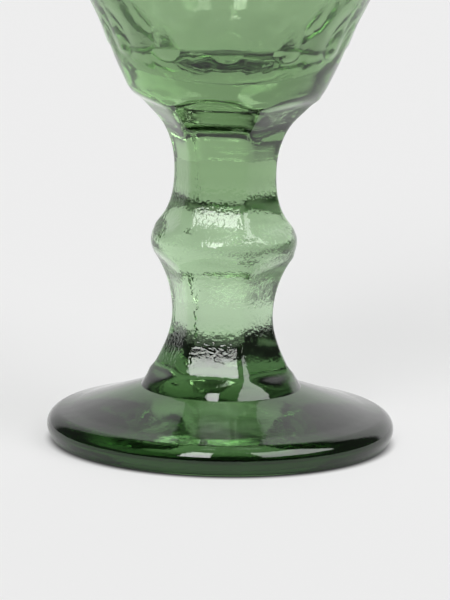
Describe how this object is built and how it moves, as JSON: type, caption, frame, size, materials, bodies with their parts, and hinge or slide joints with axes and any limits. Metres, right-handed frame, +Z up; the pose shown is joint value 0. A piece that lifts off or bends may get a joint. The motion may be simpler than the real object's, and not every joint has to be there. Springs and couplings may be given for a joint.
{
  "type": "pressed glass wine goblet",
  "caption": "Footed wine goblet in green pressed glass: deep tapering bowl with a row of oval hollows low down, faceted stem with a round knop, and a broad domed foot.",
  "frame": {"origin": "centre of the underside of the foot, on the surface that the goblet stands on", "axes": "+Z up along the axis of the goblet; -Y is the front, which the picture looks at; +X is to the right seen from the front"},
  "size_m": [0.088, 0.088, 0.165],
  "materials": {
    "bowl_glass": "clear, tinted green, fire polished",
    "stem_glass": "clear, tinted green, pressed facets",
    "foot_glass": "clear, tinted green, fire polished"
  },
  "bodies": {
    "root": {"bowl": "bowl_glass", "stem": "stem_glass", "foot": "foot_glass"}
  },
  "joints": []
}
